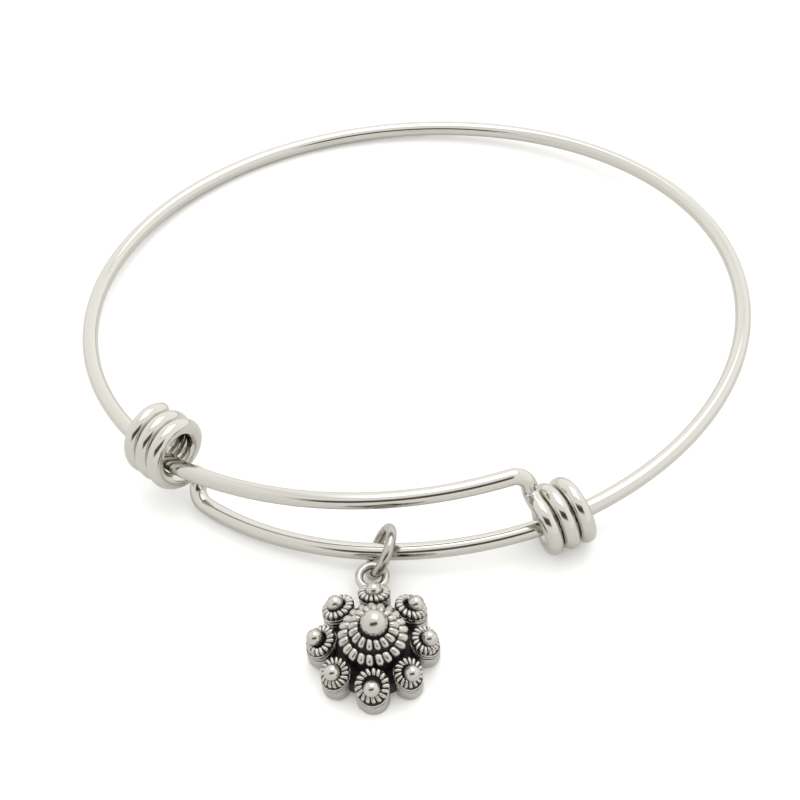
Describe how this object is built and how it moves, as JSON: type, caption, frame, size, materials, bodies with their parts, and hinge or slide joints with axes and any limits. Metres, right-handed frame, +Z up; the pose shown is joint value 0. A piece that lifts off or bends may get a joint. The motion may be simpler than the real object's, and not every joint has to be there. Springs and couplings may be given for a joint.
{
  "type": "charm bangle",
  "caption": "Thin expandable wire bangle, its ends coiled round its own rails, with a round button-filigree charm on a jump ring.",
  "frame": {"origin": "middle of the hoop, at the height of the surface the bangle lies on", "axes": "+Z up from the surface, -Y towards the front rails and the charm, +X to the right"},
  "size_m": [0.0645, 0.0732, 0.0085],
  "materials": {
    "polished_wire": "polished",
    "ring_wire": "polished",
    "antiqued_charm": "polished with dark recesses"
  },
  "bodies": {
    "root": {"bangle_wire": "polished_wire", "jump_ring": "ring_wire", "charm": "antiqued_charm"}
  },
  "joints": []
}
